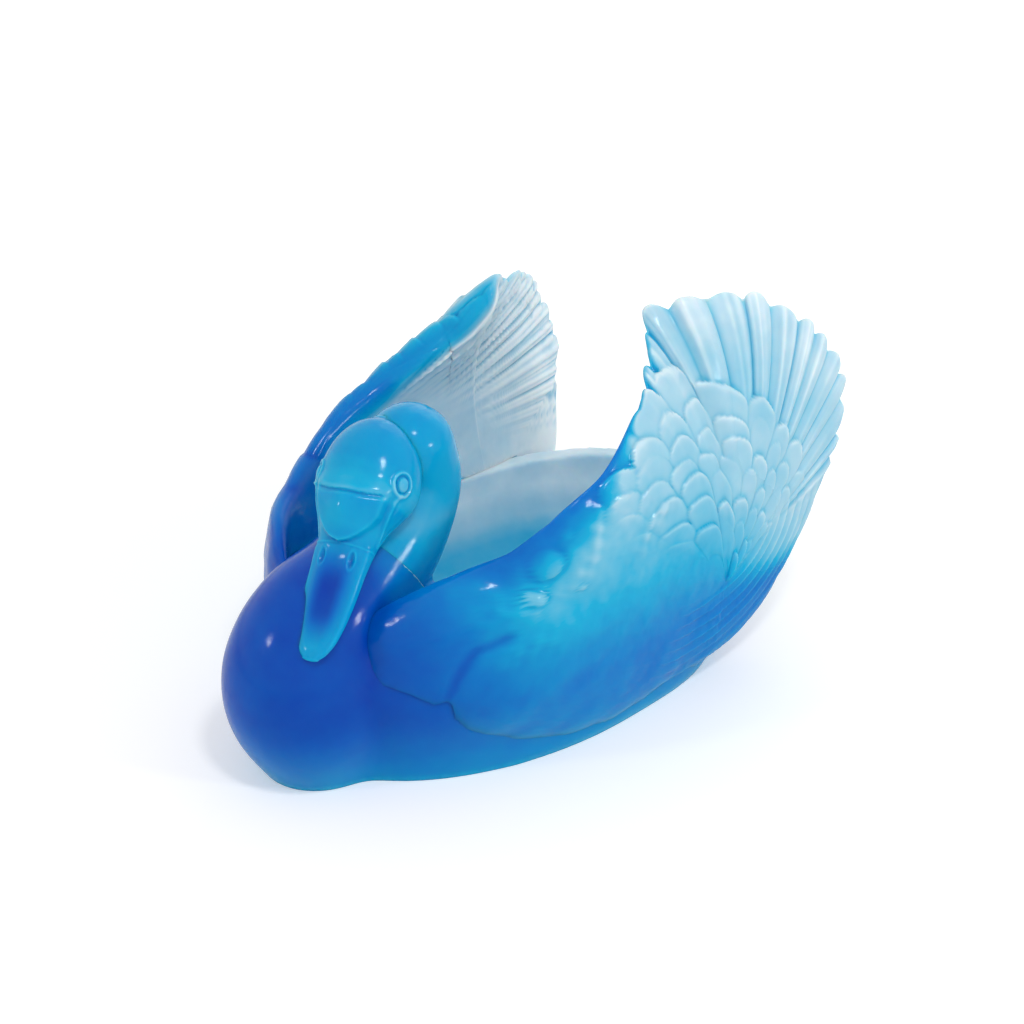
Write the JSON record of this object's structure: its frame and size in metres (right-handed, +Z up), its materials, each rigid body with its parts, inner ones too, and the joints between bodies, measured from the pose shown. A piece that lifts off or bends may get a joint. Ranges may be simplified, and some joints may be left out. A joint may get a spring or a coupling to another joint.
{
  "type": "swan bowl",
  "caption": "Open cast-glass bowl shaped as a resting swan: a hollow body with raised fan wings, a curved neck and a bowed head, on a flat foot.",
  "frame": {"origin": "on the flat foot, under the middle of the bowl", "axes": "+Z up, the swan faces -Y, its left side is +X"},
  "size_m": [0.2178, 0.3518, 0.2241],
  "materials": {
    "body_glass": "deep blue cast glass, polished, translucent",
    "wing_glass": "pale blue cast glass, satin, fading to clear white at the feather tips",
    "neck_glass": "blue cast glass, polished, translucent",
    "head_glass": "turquoise cast glass, polished, clearer towards the beak"
  },
  "bodies": {
    "root": {"bowl_body": "body_glass", "left_wing": "wing_glass", "right_wing": "wing_glass", "neck": "neck_glass", "head": "head_glass"}
  },
  "joints": []
}
